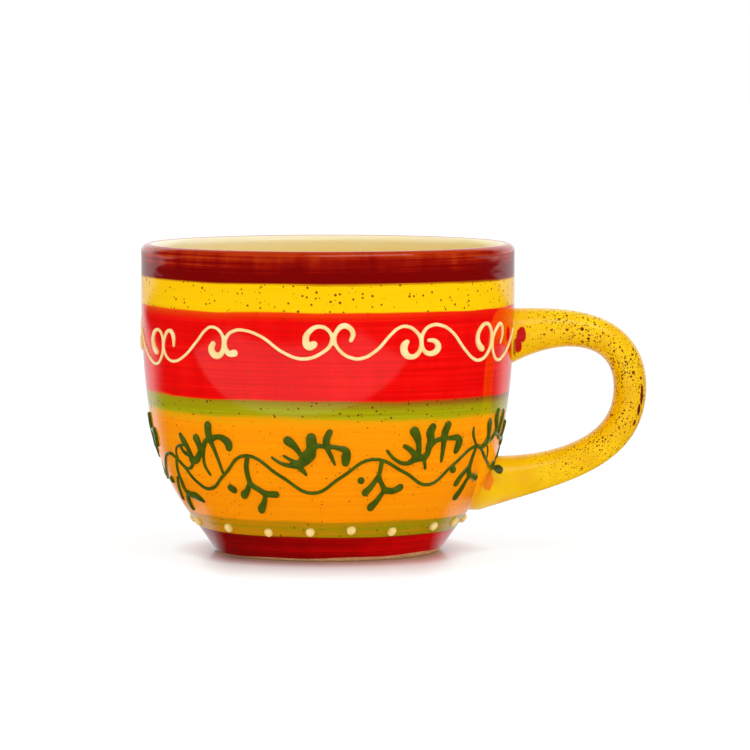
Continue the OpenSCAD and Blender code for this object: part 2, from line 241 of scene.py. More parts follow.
# A smooth warm gloss over the throwing rings. Its colour is painted deeper yellow lower down, as shade inside
# the cup, and paler over the last 6 mm up to the lip, a little further down at the left, as a painted
# highlight.
cream_glaze, tree = material("cream_glaze_poured")
cloud = add(tree, "TexNoise", {"Vector": in_mm(tree, 14, 14, 5), "Detail": 3.0, "Scale": 1.0})
# Painted shade and highlight: the height that the colour follows, tilted so that the pale reaches lower at
# the left
painted_shade_height = add(
    tree, "VectorMath", {0: in_mm(tree, 1, 1, 1), 1: (-0.004, 0.0, 0.16)}, operation="DOT_PRODUCT")
level = add(
    tree, "Math", {0: cloud.outputs["Fac"], 1: 0.4, 2: painted_shade_height.outputs["Value"]}, operation="MULTIPLY_ADD")
fade = add(tree, "MapRange", {"Value": level.outputs[0], 1: 12.4, 2: 13.4})
tone = add(
    tree, "ValToRGB", {"Fac": fade.outputs[0]},
    stops=((0.0, "#f3d673"), (1.0, "#f7eecb"), (0.6, "#f5e3a4")))
shader = add(tree, "BsdfPrincipled", {"Base Color": tone.outputs["Color"], "Roughness": 0.12, "IOR": 1.5})
add(tree, "OutputMaterial", {"Surface": shader.outputs["BSDF"]})
liner_glaze.data.materials.append(cream_glaze)
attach(liner_glaze, "root")
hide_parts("liner_glaze")

# Foot band: the dark red stain brushed over the foot while the mug turned on a banding wheel.
# It stops unevenly above the ground. Clear gloss glaze lies over it, as over all the bands above.
# Each brush lapped over its neighbours, so the stains of all the bands stand here together.
STAINS = {
    "foot red": ("#860101", "#a60201", "#ce0302"),
    "olive": ("#d08d03", "#b88c04", "#9a9103"),
    "orange": ("#fb9001", "#fd9601", "#ff9f03"),
    "lime": ("#988f02", "#a3a004", "#acb010"),
    "red": ("#dd0201", "#ea0302", "#f3110a"),
    "yellow": ("#fbc301", "#fdc702", "#fecb03"),
    "maroon": ("#780201", "#930d03", "#b43409")}
# Height at which each stain starts
STARTS = {
    "foot red": 1.0, "olive": 6.8, "orange": 11.2, "lime": 39.0, "red": 43.6, "yellow": 66.7, "maroon": 74.0}
# How far the tone of a stain drifts from the first colour to the last: per millimetre to the right, per
# millimetre up, the height from which that counts, and how much it varies in upright patches
DRIFT = {
    "foot red": (0.008, 0.0, 0.0, 0.3), "olive": (0.006, 0.0, 0.0, 0.2), "red": (0.0, 0.0, 0.0, 0.5),
    "maroon": (0.0, 0.1, 79.8, 0.6)}
# Tilt, wander and softness of the edge under each stain, how far it laps over the stain below, the colour
# that the two mix to, and how much of that shows at the left and at the right
EDGES = {
    "olive": (0.0, 0.3, 0.2, 0.6, "#6b2a03", 0.6, 0.6),
    "orange": (0.0, 0.4, 0.4, 1.6, "#c08505", 0.8, 0.3),
    "lime": (-0.012, 0.5, 0.8, 3.0, "#e2a506", 0.8, 0.5),
    "red": (-0.006, 0.4, 0.4, 3.0, "#8a4412", 0.25, 1.0),
    "yellow": (-0.004, 0.3, 0.25, 2.6, "#ee4c05", 1.0, 0.1),
    "maroon": (-0.005, 0.2, 0.35, 0.5, "#c9730a", 0.7, 0.7)}
# Where the halo and the core of a speck start and are full, from its edge inwards, how strong they are, and
# their colour
HALO, CORE = (-0.06, 0.04, 0.6, "#a64a06"), (0.0, 0.06, 0.85, "#5a1c03")
LEFT, RIGHT = -45.0, 45.0


def coat_radius(z):
    """Radius of the outside of the glaze at a height."""
    return clay_radius(z) + COAT / np.cos(lean(z))


def band(name, own, above):
    """A thin ring of coat on the wall, from where a stain starts to where the next one does."""
    rows = heights(STARTS[own], STARTS[above])
    outside = [(coat_radius(z), z) for z in rows]
    return turned(name, outside + [(clay_radius(z), z) for z in reversed(rows)])


def speckled(tree, colour, layers, amount=1.0):
    """Iron specks in brown halos over a colour. A layer is a spacing in millimetres and a largest size."""
    for spacing, largest in layers:
        cell = add(tree, "TexVoronoi", {"Vector": in_mm(tree, spacing, spacing, spacing), "Scale": 1.0})
        size = add(tree, "SeparateColor", {0: cell.outputs["Color"]})
        reach = add(tree, "Math", {0: size.outputs[0], 1: amount}, operation="MULTIPLY")
        reach = add(tree, "Math", {0: reach.outputs[0], 1: largest, 2: -0.03}, operation="MULTIPLY_ADD")
        within = add(tree, "Math", {0: reach.outputs[0], 1: cell.outputs["Distance"]}, operation="SUBTRACT")
        for start, full, strength, code in (HALO, CORE):
            dot = add(tree, "MapRange", {"Value": within.outputs[0], 1: start, 2: full, 3: 0.0, 4: strength})
            colour = add(
                tree, "Mix", {0: dot.outputs[0], 6: colour, 7: rgb(code)}, data_type="RGBA").outputs[2]
    return colour


def brushed(name, own, below=None, above=None, speck=0.0, uneven=0.0):
    """One stain under gloss glaze, with brush streaks, soft edges to its neighbours and iron specks."""
    # The eye sees matt streaks of colour in the clay through a clear, sharp gloss. The hairs of a brush
    # leave finer streaks than these, which are drawn 0.6 mm high so that they show.
    mat, tree = material(name)
    spot = in_mm(tree, 1, 1, 1)
    where = add(tree, "SeparateXYZ", {0: spot})
    streak = add(tree, "TexNoise", {"Vector": in_mm(tree, 55, 55, 0.6), "Detail": 3.0, "Scale": 1.0})
    wander = add(tree, "TexNoise", {"Vector": in_mm(tree, 24, 24, 60), "Detail": 2.0, "Scale": 1.0})
    patches = add(tree, "TexNoise", {"Vector": in_mm(tree, 5, 5, 16), "Detail": 3.0, "Scale": 1.0})
    colour = None
    for key in (below, own, above):
        if not key:
            continue
        right, up, base, patchy = DRIFT.get(key, (0.0, 0.0, 0.0, 0.0))
        drift = add(tree, "VectorMath", {0: spot, 1: (right, 0.0, up)}, operation="DOT_PRODUCT")
        drift = add(
            tree, "Math", {0: drift.outputs["Value"], 1: up * base + patchy / 2}, operation="SUBTRACT")
        drift = add(
            tree, "Math", {0: patches.outputs["Fac"], 1: patchy, 2: drift.outputs[0]},
            operation="MULTIPLY_ADD")
        drift = add(tree, "Math", {0: drift.outputs[0], 1: streak.outputs["Fac"]}, operation="ADD")
        first, middle, last = STAINS[key]
        tone = add(
            tree, "ValToRGB", {"Fac": drift.outputs[0]},
            stops=((0.28, first), (0.72, last), (0.5, middle)))
        if colour is None:
            colour = tone.outputs["Color"]
            continue
        # The wander and the streaks average a half, which the middle of the edge takes back
        tilt, wave, soft, lap, mixed, left_share, right_share = EDGES[key]
        centre = STARTS[key] + 2 * wave + 1.5 * soft
        lift = add(
            tree, "Math", {0: where.outputs["X"], 1: -tilt, 2: where.outputs["Z"]}, operation="MULTIPLY_ADD")
        lift = add(
            tree, "Math", {0: wander.outputs["Fac"], 1: 4 * wave, 2: lift.outputs[0]},
            operation="MULTIPLY_ADD")
        lift = add(
            tree, "Math", {0: streak.outputs["Fac"], 1: 3 * soft, 2: lift.outputs[0]},
            operation="MULTIPLY_ADD")
        covered = add(
            tree, "MapRange", {"Value": lift.outputs[0], 1: centre - soft, 2: centre + soft},
            interpolation_type="SMOOTHSTEP")
        lapped = add(
            tree, "MapRange", {"Value": lift.outputs[0], 1: centre - lap, 2: centre},
            interpolation_type="SMOOTHSTEP")
        side = add(
            tree, "MapRange", {"Value": where.outputs["X"], 1: LEFT, 2: RIGHT, 3: left_share, 4: right_share})
        lapped = add(tree, "Math", {0: lapped.outputs[0], 1: side.outputs[0]}, operation="MULTIPLY")
        thinned = add(tree, "Mix", {0: lapped.outputs[0], 6: colour, 7: rgb(mixed)}, data_type="RGBA")
        colour = add(
            tree, "Mix", {0: covered.outputs[0], 6: thinned.outputs[2], 7: tone.outputs["Color"]},
            data_type="RGBA").outputs[2]
    if speck:
        colour = speckled(tree, colour, ((1.2, 0.34),), speck)
    relief = add(tree, "Bump", {"Height": streak.outputs["Fac"], "Strength": 0.1, "Distance": 0.00003})
    if uneven:
        ripple = add(tree, "TexNoise", {"Vector": in_mm(tree, 9, 9, 4), "Detail": 1.0, "Scale": 1.0})
        relief = add(tree, "Bump", {
            "Height": ripple.outputs["Fac"], "Strength": 1.0, "Distance": uneven,
            "Normal": relief.outputs["Normal"]})
    shader = add(tree, "BsdfPrincipled", {
        "Base Color": colour, "Roughness": 0.07, "IOR": 1.5, "Normal": relief.outputs["Normal"]})
    add(tree, "OutputMaterial", {"Surface": shader.outputs["BSDF"]})
    return mat


foot_band = band("brushed_foot_band", "foot red", "olive")
# The lower edge rises half a millimetre towards the handle, falls as much at the left, and wavers
EDGE_TILT, EDGE_WAVER, EDGE_DROP = 0.5, 0.1, 0.05
for vert in foot_band.data.vertices:
    if vert.co.z < 1.01 * STARTS["foot red"] * MM:
        at = math.atan2(vert.co.x, -vert.co.y)
        rise = MM * (EDGE_TILT * math.sin(at) + EDGE_WAVER * math.sin(9 * at) - EDGE_DROP)
        spread = 1 + rise * math.tan(FOOT_LEAN) / math.hypot(vert.co.x, vert.co.y)
        vert.co = (vert.co.x * spread, vert.co.y * spread, vert.co.z + rise)
foot_band.data.materials.append(brushed("foot_red_stain_under_gloss_glaze", "foot red", above="olive"))
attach(foot_band, "root")
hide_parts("foot_band")

# Lower green band: a narrow ring of thin green stain above the foot, brushed on the turning wheel.
# The orange above has bled into it, so it reads as olive, and the iron specks of the clay show through.
lower_green_band = band("brushed_lower_green_band", "olive", "orange")
lower_green_band.data.materials.append(
    brushed("olive_stain_under_gloss_glaze", "olive", "foot red", "orange", speck=0.8))
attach(lower_green_band, "root")
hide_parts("lower_green_band")

# Orange band: the broad ring of warm stain over the belly, laid with a wide brush in several turns.
# The turns are just visible, and fewer specks show than in the green.
orange_band = band("brushed_orange_band", "orange", "lime")
orange_band.data.materials.append(
    brushed("orange_stain_under_gloss_glaze", "orange", "olive", "lime", speck=0.65))
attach(orange_band, "root")
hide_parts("orange_band")

# Green band: the narrow lime ring between orange and red, brushed over the edge of the orange.
# It is muddy where it meets the red, most of all at the right.
green_band = band("brushed_green_band", "lime", "red")
green_band.data.materials.append(
    brushed("lime_stain_under_gloss_glaze", "lime", "orange", "red", speck=1.0))
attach(green_band, "root")
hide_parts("green_band")

# Red band: the broad bright ring of stain on the upper wall, which carries the scroll.
# It is thin and orange where it meets the yellow, most of all at the left.
red_band = band("brushed_red_band", "red", "yellow")
red_band.data.materials.append(
    brushed("red_stain_under_gloss_glaze", "red", "lime", "yellow", speck=0.6))
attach(red_band, "root")
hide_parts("red_band")

# Yellow band: the ring of stain below the rim, in much the same yellow as the handle.
# The stain is thin, so the iron specks of the clay show in it more than in the red.
yellow_band = band("brushed_yellow_band", "yellow", "maroon")
yellow_band.data.materials.append(
    brushed("yellow_stain_under_gloss_glaze", "yellow", "red", "maroon", speck=1.0))
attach(yellow_band, "root")
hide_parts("yellow_band")

# Rim band: maroon stain drawn over the lip with a full brush, under glaze that ran and set in low ripples.
# The glaze breaks thin over the lip and lets the clay warm the colour there.
RIPPLE = 0.00008
rim_rows = heights(STARTS["maroon"], LIP_Z)
rim_face = [(coat_radius(z), z) for z in rim_rows] + lip_arc(LIP_R + COAT, 0, LIP_TURN)[1:]
rim_back = [(clay_radius(z), z) for z in rim_rows[:-1]] + lip_arc(LIP_R, 0, LIP_TURN)
rim_band = turned("brushed_rim_band", rim_face + list(reversed(rim_back)))
rim_band.data.materials.append(brushed("maroon_stain_under_gloss_glaze", "maroon", "yellow", uneven=RIPPLE))
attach(rim_band, "root")
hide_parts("rim_band")

# Handle glaze: speckled yellow over the whole strap, which swells where its roots are pressed to the wall.
# Paint from the wall strayed on to both roots, and a broken brown run marks the outside of the bend.
HANDLE_T, HANDLE_W = 8.8, 12.0
ROOT_SWELL_T, ROOT_SWELL_W = 3.1, 1.8
UPPER_ROOT_Z, LOWER_ROOT_Z, ROOT_DEPTH = 57.6, 18.2, 2
PRESSED_DEPTH = 1
ARM_STEPS, HANDLE_SIDES = 36, 48
upper_root = Vector((RIM_R - ROOT_DEPTH, UPPER_ROOT_Z))
lower_root = Vector((clay_radius(LOWER_ROOT_Z) - ROOT_DEPTH, LOWER_ROOT_Z))
bend = Vector((81, 43.9))
upper_arm = (upper_root, upper_root + Vector((26.5, 6.5)), bend + Vector((0, 9.8)), bend)
lower_arm = (bend, bend - Vector((0, 14.6)), lower_root + Vector((29, 3.3)), lower_root)
line = [curve_point(upper_arm, i / ARM_STEPS) for i in range(ARM_STEPS + 1)]
line += [curve_point(lower_arm, i / ARM_STEPS) for i in range(1, ARM_STEPS + 1)]
# The swell grows only close to the two roots
sections = []
for i, middle in enumerate(line):
    ahead = (line[min(i + 1, len(line) - 1)] - line[max(i - 1, 0)]).normalized()
    swell = abs(2 * i / (len(line) - 1) - 1) ** 6
    half_t, half_w = HANDLE_T / 2 + ROOT_SWELL_T * swell, HANDLE_W / 2 + ROOT_SWELL_W * swell
    section = []
    for j in range(HANDLE_SIDES):
        a = math.tau * j / HANDLE_SIDES
        out = half_t * math.cos(a)
        section.append((middle.x - ahead.y * out, half_w * math.sin(a), middle.y + ahead.x * out))
    sections.append(section)
# Each end is pressed flat inside the wall
for end in (0, -1):
    pressed = [
        (min(x, math.sqrt((clay_radius(z) - PRESSED_DEPTH) ** 2 - y * y)), y, z) for x, y, z in sections[end]]
    sections.insert(len(sections) if end else 0, pressed)
bm = bmesh.new()
rings = []
for section in sections:
    verts = [bm.verts.new((x * MM, y * MM, z * MM)) for x, y, z in section]
    rings.append([bm.edges.new(pair) for pair in zip(verts, verts[1:] + verts[:1])])
for here, after in zip(rings, rings[1:]):
    bmesh.ops.bridge_loops(bm, edges=here + after)
for end in (rings[0], rings[-1]):
    bmesh.ops.edgeloop_fill(bm, edges=end)
handle_glaze = finished("speckled_handle_glaze", bm)

# Middle and reach of each blot along the three axes, and its colour: the run, painted shade in the seam
# under the upper root, red on that root, a green drop and orange on the lower root
BLOTS = (
    ((84.0, -4.4, 41.6), (0.6, 0.8, 3.0), "#6b1c06"), ((83.3, -4.7, 37.4), (0.6, 0.8, 2.2), "#6b1c06"),
    # The fourth blot is painted shade in the seam where the upper root meets the wall
    ((82.3, -4.9, 34.0), (0.7, 0.8, 1.6), "#6b1c06"), ((49.9, -7.0, 54.8), (0.45, 4.0, 2.8), "#b8680a"),
    ((51.7, -7.0, 58.5), (1.2, 4.0, 2.3), "#c40a02"), ((50.8, -7.0, 55.8), (0.9, 4.0, 3.0), "#c40a02"),
    ((45.6, -6.5, 22.3), (1.3, 2.5, 1.3), "#3a4c05"), ((42.8, -8.0, 19.5), (1.5, 3.5, 3.4), "#f58c05"))
# A thick, fatty gloss, softer than on the wall, painted browner on the outside of the bend as shade there.
# Its iron specks gather in clusters and thin out towards the roots.
speckled_yellow, tree = material("yellow_glaze_speckled_with_iron")
cloud = add(tree, "TexNoise", {"Vector": in_mm(tree, 7, 7, 7), "Detail": 3.0, "Scale": 1.0})
tone = add(
    tree, "ValToRGB", {"Fac": cloud.outputs["Fac"]},
    stops=((0.3, "#f0b801"), (0.7, "#fdd204"), (0.5, "#f8c902")))
where = add(tree, "SeparateXYZ", {0: in_mm(tree, 1, 1, 1)})
# Painted shade: the colour turns brown towards the outside of the bend
painted_bend_shade = add(tree, "MapRange", {"Value": where.outputs["X"], 1: 76.0, 2: 87.0, 3: 0.0, 4: 0.6})
bend_shaded = add(
    tree, "Mix", {0: painted_bend_shade.outputs[0], 6: tone.outputs["Color"], 7: rgb("#d69a02")}, data_type="RGBA")
outward = add(tree, "MapRange", {"Value": where.outputs["X"], 1: 48.0, 2: 66.0, 3: 0.45, 4: 1.0})
upward = add(tree, "MapRange", {"Value": where.outputs["Z"], 1: 14.0, 2: 32.0, 3: 0.55, 4: 1.0})
amount = add(tree, "Math", {0: outward.outputs[0], 1: upward.outputs[0]}, operation="MULTIPLY")
clusters = add(tree, "MapRange", {"Value": cloud.outputs["Fac"], 1: 0.35, 2: 0.65, 3: 0.75, 4: 1.15})
amount = add(tree, "Math", {0: amount.outputs[0], 1: clusters.outputs[0]}, operation="MULTIPLY")
colour = speckled(tree, bend_shaded.outputs[2], ((0.5, 0.47), (0.75, 0.47), (2.0, 0.32)), amount.outputs[0])
ragged = add(tree, "TexNoise", {"Vector": in_mm(tree, 1.5, 1.5, 1.5), "Detail": 2.0, "Scale": 1.0})
for middle, reach, code in BLOTS:
    away = add(tree, "VectorMath", {0: in_mm(tree, 1, 1, 1), 1: middle}, operation="SUBTRACT")
    away = add(tree, "VectorMath", {0: away.outputs[0], 1: reach}, operation="DIVIDE")
    away = add(tree, "VectorMath", {0: away.outputs[0]}, operation="LENGTH")
    away = add(
        tree, "Math", {0: ragged.outputs["Fac"], 1: 0.7, 2: away.outputs["Value"]}, operation="MULTIPLY_ADD")
    share = add(tree, "MapRange", {"Value": away.outputs[0], 1: 1.25, 2: 1.4, 3: 1.0, 4: 0.0})
    colour = add(tree, "Mix", {0: share.outputs[0], 6: colour, 7: rgb(code)}, data_type="RGBA").outputs[2]
relief = add(tree, "Bump", {"Height": cloud.outputs["Fac"], "Strength": 0.2, "Distance": 0.0003})
shader = add(tree, "BsdfPrincipled", {
    "Base Color": colour, "Roughness": 0.2, "IOR": 1.5, "Specular IOR Level": 0.3,
    "Normal": relief.outputs["Normal"]})
add(tree, "OutputMaterial", {"Surface": shader.outputs["BSDF"]})
handle_glaze.data.materials.append(speckled_yellow)
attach(handle_glaze, "root")
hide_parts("handle_glaze")

# Scroll trails: cream slip squeezed from a slip trailer on to the red band in one running line of S-strokes.
# Each stroke ends in a curl with a fat drop, and two curls meet back to back in a heart.
# Strokes are drawn flat, in millimetres along a wall of radius WRAP_R, and then wrapped on to the mug.
WRAP_R = 46.0
TRAIL_R = 0.55
SUNK = 0.1


def trailed(name, strokes, tallest=0.85):
    """Raised slip on the wall. A stroke is rows of (along the wall, height, width), and width 1 is 1.1 mm."""
    drawing = bpy.data.curves.new(name + "_drawing", "CURVE")
    drawing.dimensions = "3D"
    drawing.bevel_depth = TRAIL_R
    drawing.bevel_resolution = 3
    drawing.use_fill_caps = True
    for stroke in strokes:
        # Two more points, at parts of the width past each end, close the line off round
        rounded = [Vector(row) for row in stroke]
        for end, before in ((0, 1), (-1, -2)):
            tip, out = Vector(stroke[end]), Vector(stroke[end][:2]) - Vector(stroke[before][:2])
            for reach, width in ((0.35, 0.7), (0.49, 0.1)):
                push = out.normalized() * reach * tip.z
                row = Vector((tip.x + push.x, tip.y + push.y, tip.z * width))
                rounded.insert(0 if end == 0 else len(rounded), row)
        spline = drawing.splines.new("BEZIER")
        spline.resolution_u = 6
        spline.bezier_points.add(len(rounded) - 1)
        for point, row in zip(spline.bezier_points, rounded):
            point.co = (row.x, row.y, 0)
            point.radius = row.z
            point.handle_left_type = point.handle_right_type = "AUTO"
    flat = bpy.data.objects.new(name + "_drawing", drawing)
    scene.collection.objects.link(flat)
    # Wet slip runs together where strokes meet, and settles soft and low
    remesh = flat.modifiers.new("settle", "REMESH")
    remesh.mode = "VOXEL"
    remesh.voxel_size = 0.2
    smooth = flat.modifiers.new("soften", "SMOOTH")
    smooth.factor = 0.5
    smooth.iterations = 4
    bm = bmesh.new()
    bm.from_mesh(flat.evaluated_get(bpy.context.evaluated_depsgraph_get()).to_mesh())
    bpy.data.objects.remove(flat)
    # The back sinks a little into the glaze, and high parts flatten out towards the tallest
    u, z, proud = np.array([vert.co for vert in bm.verts]).T
    proud = np.where(proud < 0, np.maximum(proud, -SUNK), tallest * np.tanh(1.15 * proud / tallest))
    r = coat_radius(z) + proud * np.cos(lean(z))
    wrapped = np.stack((r * np.sin(u / WRAP_R), -r * np.cos(u / WRAP_R), z - proud * np.sin(lean(z))), axis=1)
    for vert, co in zip(bm.verts, wrapped * MM):
        vert.co = co
    return finished(name, bm, sharp=60)


def along(degrees):
    """Distance along the flat drawing for an angle round the mug, from the front to the right."""
    return math.radians(degrees) * WRAP_R


def placed(drawings):
    """Strokes of several drawings, each turned round the mug by its angle in degrees."""
    return [[(u + along(at), z, w) for u, z, w in stroke] for at, drawing in drawings for stroke in drawing]


# The front has six strokes, F and then A to E from left to right, and the back repeats C and D
STROKE_A = (
    (-43.2, 56.8, 0.7), (-43.3, 59.7, 1.2), (-44.8, 60.8, 1.0), (-47.3, 58.7, 0.8), (-47.8, 55.5, 0.75),
    (-45.8, 53.2, 0.75), (-43.3, 52.8, 0.8), (-39.3, 54.3, 0.75), (-34.4, 58.5, 0.75), (-31.3, 61.7, 0.75),
    (-29.6, 62.5, 0.8), (-26.9, 61.3, 0.8), (-26.1, 58.7, 0.85), (-26.9, 55.5, 1.4), (-28.4, 55.1, 1.8),
    (-29.7, 56.7, 1.7), (-29.1, 58.2, 1.4))
STROKE_B = (
    (-23.0, 55.9, 1.9), (-24.6, 55.8, 1.5), (-25.6, 57.7, 1.0), (-24.9, 60.4, 0.9), (-22.8, 61.8, 0.9),
    (-20.9, 62.0, 0.8), (-16.2, 60.6, 0.8), (-10.2, 56.3, 0.8), (-5.6, 54.8, 0.9), (-1.0, 56.4, 0.9),
    (1.3, 59.2, 1.0), (0.9, 61.7, 0.9), (-1.5, 63.2, 1.0), (-4.1, 61.8, 1.3), (-4.9, 59.7, 1.6),
    (-4.1, 58.0, 1.9), (-2.9, 58.6, 1.8))
STROKE_C = (
    (5.9, 59.5, 1.0), (6.4, 61.4, 1.2), (5.4, 63.0, 1.3), (4.1, 63.4, 1.4), (2.6, 62.1, 1.1),
    (2.0, 59.7, 0.9), (3.3, 56.9, 0.85), (6.2, 55.0, 0.9), (8.6, 54.9, 0.9), (12.0, 56.8, 0.85),
    (15.8, 61.0, 0.8), (17.7, 62.6, 0.85), (19.5, 63.0, 0.9), (22.3, 61.6, 0.9), (23.7, 58.8, 0.9),
    (22.8, 55.7, 1.2), (20.9, 55.0, 1.4), (19.3, 56.2, 1.8), (19.2, 58.0, 1.8), (19.9, 59.0, 1.3))
STROKE_D = (
    (25.8, 59.2, 0.9), (27.8, 58.8, 1.3), (28.6, 57.2, 1.6), (26.9, 55.7, 1.4), (24.7, 56.4, 1.1),
    (23.9, 59.0, 0.9), (24.8, 61.9, 0.9), (27.0, 63.1, 0.95), (29.1, 63.0, 0.9), (32.2, 61.6, 0.85),
    (37.5, 56.1, 0.8), (40.6, 53.7, 0.85), (43.1, 53.1, 0.9), (46.5, 54.7, 0.9), (48.2, 58.3, 0.9),
    (47.3, 61.8, 0.95), (45.6, 62.6, 1.0), (43.0, 61.3, 1.1), (42.0, 59.0, 1.2), (42.8, 57.0, 1.6),
    (43.9, 56.1, 1.7))
STROKE_E = (
    (53.5, 56.9, 0.5), (54.6, 59.5, 0.8), (53.2, 62.1, 1.0), (51.0, 61.2, 0.9), (48.9, 58.0, 0.85),
    (49.6, 54.6, 0.8), (52.0, 52.6, 0.9), (56.0, 53.6, 0.8), (61.5, 56.9, 0.75), (65.5, 60.0, 0.7))
STROKE_F = (
    (-72.0, 57.4, 0.9), (-70.2, 57.2, 1.3), (-69.4, 56.0, 1.6), (-70.9, 54.6, 1.4), (-73.1, 55.2, 1.1),
    (-73.9, 57.4, 0.9), (-73.0, 59.2, 0.9), (-70.8, 60.2, 0.9), (-67.2, 60.0, 0.85), (-60.9, 55.1, 0.8),
    (-56.5, 52.5, 0.8), (-52.9, 51.5, 0.8), (-49.7, 53.2, 0.8), (-48.2, 56.8, 0.8), (-49.0, 59.9, 0.8),
    (-51.6, 60.6, 0.9), (-53.7, 59.0, 1.1), (-53.6, 56.4, 1.5), (-52.0, 54.7, 1.6))
scroll_trails = trailed("trailed_scroll", placed((
    (0, (STROKE_F, STROKE_A, STROKE_B, STROKE_C, STROKE_D, STROKE_E)), (60, (STROKE_D[7:],)),
    (120, (STROKE_C, STROKE_D)), (180, (STROKE_C, STROKE_D)), (240, (STROKE_C,)))))

# Pale slip under clear glaze: a soft cream with faint clouds, and a small bright shine along each line
cream_slip, tree = material("cream_slip_trailed_under_gloss_glaze")
cloud = add(tree, "TexNoise", {"Vector": in_mm(tree, 3, 3, 3), "Detail": 2.0, "Scale": 1.0})
tone = add(tree, "ValToRGB", {"Fac": cloud.outputs["Fac"]}, stops=((0.3, "#f6d488"), (0.7, "#ffe9ae")))
shader = add(tree, "BsdfPrincipled", {"Base Color": tone.outputs["Color"], "Roughness": 0.18, "IOR": 1.5})
add(tree, "OutputMaterial", {"Surface": shader.outputs["BSDF"]})
scroll_trails.data.materials.append(cream_slip)
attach(scroll_trails, "root")
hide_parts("scroll_trails")

# Vine stem: one wavy line of dark green slip, trailed right round the orange band in one go.
# It runs on past the handle's lower root and meets its own start.
TURN = math.tau * WRAP_R
STEM = (
    (-59.1, 24.3), (-53.4, 27.7), (-46.7, 25.5), (-41.8, 20.9), (-37.1, 19.2), (-29.6, 23.6), (-21.8, 29.0),
    (-12.5, 23.8), (-3.8, 19.3), (4.2, 23.8), (12.0, 28.3), (21.4, 24.6), (30.4, 20.8), (37.6, 25.6),
    (46.0, 30.0), (54.2, 26.0), (62.1, 23.2), (68.9, 24.2), (78.3, 29.6), (94.7, 20.0), (110.8, 28.8),
    (126.5, 19.4), (142.1, 28.6), (158.2, 19.6), (173.8, 29.0), (189.9, 19.4), (205.5, 28.4), (221.0, 19.8),
    (TURN - 59.0, 24.4))
STEM_WIDTH = 0.88
vine_stem = trailed("trailed_vine_stem", [[(u, z, STEM_WIDTH) for u, z in STEM]])

# Green slip under clear glaze: deep and leafy, nearly black in shade, with a bright wet shine along the ridge
green_slip, tree = material("green_slip_trailed_under_gloss_glaze")
cloud = add(tree, "TexNoise", {"Vector": in_mm(tree, 2.5, 2.5, 2.5), "Detail": 2.0, "Scale": 1.0})
tone = add(tree, "ValToRGB", {"Fac": cloud.outputs["Fac"]}, stops=((0.3, "#3a4c05"), (0.7, "#4d6207")))
shader = add(tree, "BsdfPrincipled", {"Base Color": tone.outputs["Color"], "Roughness": 0.15, "IOR": 1.5})
add(tree, "OutputMaterial", {"Surface": shader.outputs["BSDF"]})
vine_stem.data.materials.append(green_slip)
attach(vine_stem, "root")
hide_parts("vine_stem")

# Vine leaves: quick sprigs of the same slip drawn above the hollows of the stem, no two alike on the front.
# A stroke is fat where the trailer was pressed, and thins out where it was drawn away.
SPRIG_A = (
    ((6.1, 36.7, 2.0), (5.9, 34.5, 1.9), (6.1, 32.5, 1.5), (6.5, 31.9, 1.3)),
    ((1.2, 33.0, 2.1), (1.8, 31.4, 1.7), (2.0, 29.8, 1.4)),
    ((-5.5, 33.5, 1.0), (-4.3, 31.8, 1.7), (-2.9, 29.6, 1.3), (-2.2, 27.2, 1.6)),
    ((-5.4, 30.5, 0.8), (-7.9, 30.1, 0.7), (-9.5, 28.5, 0.7), (-9.3, 26.5, 0.7)),
    ((-6.5, 29.8, 0.7), (-5.1, 28.6, 1.0), (-3.2, 28.0, 1.1)),
    ((-10.1, 26.6, 0.7), (-7.7, 25.0, 0.8), (-4.9, 24.3, 0.8), (-2.4, 25.8, 1.1), (-1.6, 26.8, 1.5)),
    ((-2.3, 26.8, 2.0), (-0.6, 26.9, 1.9), (1.6, 28.9, 1.5), (3.2, 30.4, 1.3), (4.7, 32.4, 1.3),
     (6.4, 32.9, 1.6), (8.9, 33.6, 1.3), (10.5, 33.3, 1.7), (12.0, 32.0, 2.2), (12.0, 30.7, 1.7)),
    ((3.4, 30.3, 1.0), (2.6, 27.7, 0.9), (2.5, 25.5, 0.9), (3.7, 23.1, 0.7)),
    ((6.5, 31.9, 1.3), (7.3, 29.5, 1.0), (8.0, 26.8, 0.9), (8.5, 24.0, 0.8)))
SPRIG_B = (
    ((-11.2, 28.8, 0.7), (-8.7, 27.2, 0.9), (-6.2, 26.7, 1.2), (-4.1, 27.0, 2.0), (-2.0, 28.8, 3.2),
     (-0.4, 31.2, 2.2), (1.0, 32.0, 1.2), (2.7, 31.8, 1.0), (4.4, 31.8, 1.1), (6.4, 31.4, 1.3),
     (8.3, 30.6, 1.8), (8.3, 29.0, 2.4), (8.2, 27.5, 2.0)),
    ((-8.0, 29.3, 0.7), (-6.3, 28.3, 0.9), (-4.3, 27.3, 1.2)),
    ((-3.9, 26.3, 1.5), (-2.9, 25.2, 1.2), (-2.1, 24.1, 0.6)),
    ((-3.2, 29.1, 1.0), (-4.6, 31.4, 1.5), (-6.0, 32.8, 2.2), (-6.7, 33.4, 2.3)),
    ((-2.6, 27.9, 2.0), (-1.0, 29.6, 2.9), (-0.7, 31.6, 2.2), (-0.6, 33.4, 2.6), (-0.6, 34.3, 2.4)),
    ((3.5, 31.7, 1.4), (3.2, 33.4, 1.8), (4.1, 35.8, 1.5)),
    ((3.2, 31.7, 1.2), (4.5, 29.1, 1.1), (5.5, 26.9, 0.6)))
